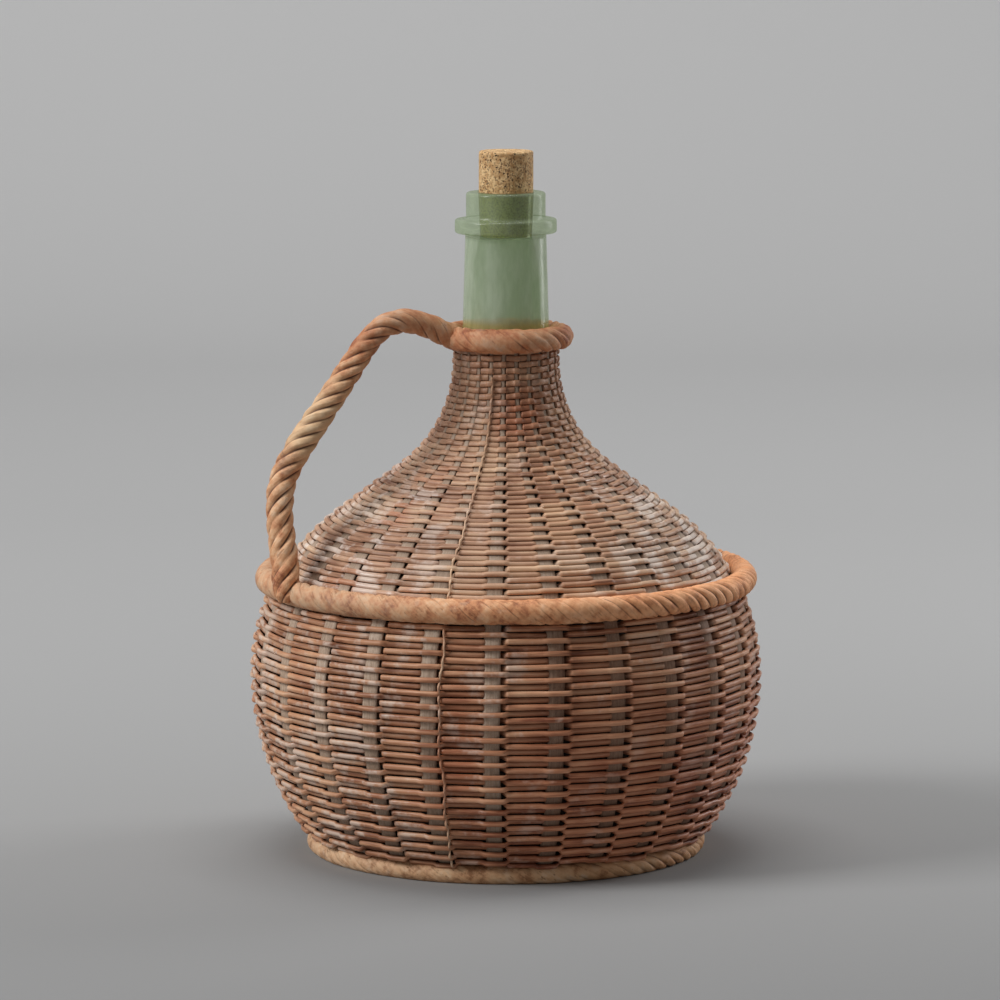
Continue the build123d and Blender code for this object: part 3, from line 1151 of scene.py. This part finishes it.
@dataclass
class BlownBottle(Piece):
    """Blown bottle: round body with a pushed-up base, slender neck, string collar and lip.

    The collar is two heights, radius and edge; the lip is radius, height and edge; the mouth is the
    bore's two radii; the throttle is the bore's foot, and height and radius of the neck under it.
    """

    wall: float = 3.5
    base: float = 15.93
    punt: float = 9.0
    heel: float = 91.23
    throat: float = 21.9
    throat_height: float = 246.6
    neck_top: float = 20.1
    collar: tuple = (309.9, 316.9, 25.3, 1.3)
    lip: tuple = (19.7, 330.2, 1.5)
    mouth: tuple = (13.7, 12.9)
    throttle: tuple = (307.8, 295.8, 15.9)
    sides: int = 144

    name, node, slot = "blown_bottle", "glass_bottle", Slot.GLASS

    def _profile(self) -> tuple[Array, Array]:
        """Outlines as radius and height, the outside from the base up and the inside down.

        Returns:
            Outer and inner outline.
        """
        quarter = np.pi / 2
        low, high, collar, edge = self.collar
        lip, top, lip_edge = self.lip
        bore_foot, under_bore, neck_bore = self.throttle
        neck_start = self.throat_height + 0.1
        belly, inner = (
            StakeLine(out, out, self.heel - 0.1, top=neck_start).line[::12]
            for out in (0.0, -self.wall)
        )
        reach = np.linspace(0.6, self.heel, 24)
        rise = self.base + self.punt * (1 - (reach / self.heel) ** 2)
        outside = np.vstack([
            np.stack([reach, rise], -1),
            belly,
            np.linspace((self.throat, self.throat_height + 0.5), (self.neck_top, low - 0.4), 30),
            [(self.neck_top + 0.5, low)],
            arc((collar - edge, low + edge), edge, -quarter, 0, 6),
            arc((collar - edge, high - edge), edge, 0, quarter, 6),
            [(lip + 0.6, high), (lip, high + 0.7)],
            np.linspace((lip, high + 2), (lip, top - lip_edge - 0.5), 8),
            arc((lip - lip_edge, top - lip_edge), lip_edge, 0, quarter, 6),
            [(self.mouth[0] + 0.5, top)],
        ])
        neck_foot = self.throat - self.wall, self.throat_height + 1
        inside = np.vstack([
            [(self.mouth[0], top - 0.4)],
            np.linspace((self.mouth[0], top - 2), (self.mouth[1], bore_foot), 10),
            [(neck_bore, under_bore)],
            np.linspace((neck_bore + 0.1, under_bore - 2), neck_foot, 20),
            inner[::-1],
            np.stack([reach, rise + self.wall], -1)[::-1],
        ])
        return outside, inside

    def skin(self) -> Skin:
        """Profile turned about the axis: up the outside, over the lip and down the inside.

        The wall wavers a little with the turn, as blown glass does, and the collar's edge more so.

        Returns:
            Points and fields.
        """
        outside, inside = self._profile()
        profile = np.vstack([outside, inside])
        radius, height = profile.T
        angle = even_angles(self.sides)
        points = turned(profile[:, None], angle)
        waver = 0.25 * np.sin(2 * angle + 1) + 0.12 * np.sin(5 * angle)
        bare = (height > 262) & (radius > 17)
        points += stacked(np.cos(angle), np.sin(angle), 0) * (waver * bare[:, None])[..., None]
        collar = np.exp(-(((height - sum(self.collar[:2]) / 2) / 3.5) ** 2)) * (radius > 22)
        points[..., 2] += collar[:, None] * (0.3 * np.sin(angle + 2) + 0.15 * np.sin(3 * angle))
        within = (np.arange(len(profile)) >= len(outside)) * 1.0
        return points, {"inside": within[:, None]}


@dataclass
class CorkStopper(Piece):
    """Tapered cork with small pits in its side and top."""

    foot: float = 309.8
    mouth: float = 330.2
    top: float = 350.6
    foot_radius: float = 12.75
    radius: float = 13.55
    edge: float = 1.1
    pits: int = 260
    sides: int = 120

    name, node, slot, body = "cork_stopper", "cork", Slot.CORK, Body.CORK

    def _pits(self) -> tuple[Array, Array]:
        """Scatters pits on the side above the mouth, and on the top evenly over its area.

        Returns:
            Centres and widths.
        """
        rng = np.random.default_rng(11)
        turn = rng.uniform(0, TAU, self.pits)
        rise = rng.uniform(self.mouth - 1, self.top, self.pits)
        on_side = turned(stacked(self.radius, rise), turn)
        inner = self.radius * np.sqrt(rng.uniform(0, 1, self.pits // 3))
        turn = rng.uniform(0, TAU, len(inner))
        on_top = turned(stacked(inner, self.top), turn)
        centres = np.vstack([on_side, on_top])
        return centres, rng.uniform(0.35, 0.9, len(centres))

    def skin(self) -> Skin:
        """Turned profile with rounded rims, less a bell-shaped pit round each scattered centre.

        Returns:
            Points and fields.
        """
        quarter, edge = np.pi / 2, self.edge
        flat_foot, flat_top = self.foot_radius - edge, self.radius - edge
        parts = [
            np.linspace((0.6, self.foot), (flat_foot, self.foot), 8),
            arc((flat_foot, self.foot + edge), edge, -quarter, 0, 5),
            np.linspace((self.foot_radius, self.foot + edge), (self.radius, self.mouth), 24),
            np.linspace((self.radius, self.mouth), (self.radius, self.top - edge), 26),
            arc((flat_top, self.top - edge), edge, 0, quarter, 5),
            np.linspace((flat_top, self.top), (0.6, self.top), 14),
        ]
        profile = np.vstack(parts[:1] + [part[1:] for part in parts[1:]])
        points = turned(profile[:, None], even_angles(self.sides))
        centres, wide = self._pits()
        gap = np.linalg.norm(points[:, :, None] - centres, axis=-1)
        dent = (0.45 * wide * np.exp(-(gap / wide) ** 2)).max(-1)
        inward = np.array([0, 0, self.mouth]) - points
        inward[..., 2] = np.where(points[..., 2] > self.top - edge, -8.0, 0.0)
        inward /= np.maximum(np.linalg.norm(inward, axis=-1), 1e-6)[..., None]
        return points + inward * dent[..., None], {}


# Studio


@dataclass
class Studio:
    """Pale floor that curves up to a backdrop, soft lamps and the camera, in metres."""

    azimuth: float = -24.0
    elevation: float = 7.75
    distance: float = 2.8
    aim_height: float = 0.17576
    aside: float = -0.003
    lens: float = 201.6
    reach: float = 2.2
    radius: float = 1.2

    def __post_init__(self) -> None:
        """Works out the level directions to the camera's right and away from it."""
        turn = np.radians(self.azimuth)
        self.right = np.array([np.cos(turn), np.sin(turn), 0])
        self.away = np.array([-np.sin(turn), np.cos(turn), 0])

    def floor(self) -> None:
        """Floor and backdrop in one sheet: flat, then a quarter round, then upright."""
        bend = np.linspace(0, np.pi / 2, 24)
        back = self.reach + self.radius
        along = np.concatenate([[-4.0], self.reach + self.radius * np.sin(bend), [back]])
        height = np.concatenate([[0.0], self.radius - self.radius * np.cos(bend), [4.0]])
        points = (
            along[:, None, None] * self.away
            + np.array([-5.0, 5.0])[None, :, None] * self.right
            + height[:, None, None] * np.array(UPRIGHT)
        )
        index = np.arange(2 * len(along)).reshape(-1, 2)
        faces = np.stack([index[:-1, 0], index[:-1, 1], index[1:, 1], index[1:, 0]], -1).tolist()
        floor = placed("floor", smooth_mesh("floor", points, faces))
        g = Graph("floor_paper")
        depth = g.along(tuple(float(part) for part in self.away))
        # Painted light: the paper is darker at the front and brighter up the backdrop.
        greys = ((0.0, 136), (0.4, 184), (0.85, 240))
        stops = [(place, tint(grey, grey, grey)) for place, grey in greys]
        colour = g.ramp(depth * 0.25 + 0.1, stops)
        floor.data.materials.append(g.finish({"Base Color": colour, "Roughness": 0.9}))

    def lamp(self, name: str, spot: Triple, power: float, size: float) -> None:
        """Sets a square soft lamp that looks at the object.

        Args:
            name: Name of the lamp.
            spot: Its place to the camera's right, away from the camera, and up.
            power: Strength in watts.
            size: Length of a side.
        """
        light = bpy.data.lights.new(name, "AREA")
        light.shape, light.size, light.energy = "SQUARE", size, power
        right, away, up = spot
        place = right * self.right + away * self.away + up * np.array(UPRIGHT)
        self.point(placed(name, light), place, np.array([0, 0, 0.15]))

    @staticmethod
    def point(thing: bpy.types.Object, place: Array, aim: Array) -> None:
        """Puts a lamp or camera at a place and turns it, upright, to look at another.

        Args:
            thing: The lamp or camera.
            place: Where it stands.
            aim: What it looks at.
        """
        back = unit(place - aim)
        right = unit(np.cross(UPRIGHT, back))
        matrix = np.eye(4)
        matrix[:3] = np.stack([right, np.cross(back, right), back, place], -1)
        thing.matrix_world = Matrix(matrix.tolist())

    def camera(self) -> None:
        """Camera at the photograph's angle, with the upright axis a little right of the middle."""
        rise = np.radians(self.elevation)
        aim = self.right * self.aside + self.aim_height * np.array(UPRIGHT)
        back = np.sin(rise) * np.array(UPRIGHT) - self.away * np.cos(rise)
        lens = bpy.data.cameras.new("camera")
        lens.lens, lens.sensor_width, lens.sensor_fit = self.lens, 36.0, "HORIZONTAL"
        lens.clip_start, lens.clip_end = 0.1, 30
        camera = placed("camera", lens)
        self.point(camera, aim + back * self.distance, aim)
        bpy.context.scene.camera = camera

    def build(self) -> None:
        """Sets the floor, lamps, world and camera."""
        self.camera()
        self.floor()
        self.lamp("key", (-2.1, -0.8, 1.6), 46.0, 1.0)
        self.lamp("rim", (1.9, 1.1, 1.2), 14.0, 1.0)
        self.lamp("top", (-0.1, 0.2, 2.2), 22.0, 1.4)
        self.lamp("glint", (1.1, 0.6, 0.35), 1.6, 0.35)
        world = bpy.data.worlds.new("studio")
        world.use_nodes = True
        world.node_tree.nodes["Background"].inputs[0].default_value = (1, 1, 1, 1)
        world.node_tree.nodes["Background"].inputs[1].default_value = 0.22
        bpy.context.scene.world = world
        bpy.context.scene.view_settings.view_transform = "Standard"


# Assembly


def main() -> None:
    """Builds the demijohn from the inside out."""
    logging.basicConfig(level=logging.INFO)
    Studio().build()
    body, hood, stake = BODY_FINISH.material(), HOOD_FINISH.material(), STAKE_FINISH.material()
    rope, belt, foot = (finish.material() for finish in (ROPE_FINISH, BELT_FINISH, FOOT_FINISH))
    BlownBottle().build(GLASS_FINISH.material())
    CorkStopper().build(CORK_FINISH.material())
    for number in range(1, STAKES + 1):
        Stake(number).build(stake)
    heel, shoulder, top = LINE.ends[0], LINE.belt, LINE.along[-1]
    WovenBand("base_rods", "base_weave", 1.0, 48.0, 15, seed=3).build(body)
    WovenBand("belly_rods", "belly_weave", heel + 3, shoulder - 1, 42, seed=1).build(body)
    WovenBand(
        "hood_rods", "hood_weave", shoulder + 2, top, 48,
        over=0.8, sunk=0.12, proud=0.36, swell=-0.05, seed=2,
    ).build(hood)
    SplitStrand().build(hood)
    RopedRing(
        "foot_rope_ring", "foot_ring", 95.1, 4.4, 4.9, 14, 1.4, 0.35, 225, Slot.FOOT_ROPE, 0.0
    ).build(foot)
    RopedRing("belt_rope_ring", "belt_ring", 119.3, 137.6, 6.2, 20, 1.4, 0.5, 215).build(belt)
    RopedRing("neck_rope_ring", "neck_ring", 27.6, 258.3, 6.0, 5, 1.3, 0.45, 225).build(rope)
    RopedHandle().build(rope)
    for layer, finish in (("upper", UPPER_FINISH), ("lower", LOWER_FINISH)):
        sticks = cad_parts[f"cross_sticks_{layer}"]
        sticks.data.materials.clear()
        sticks.data.materials.append(finish.material())


if __name__ == "__main__":
    main()
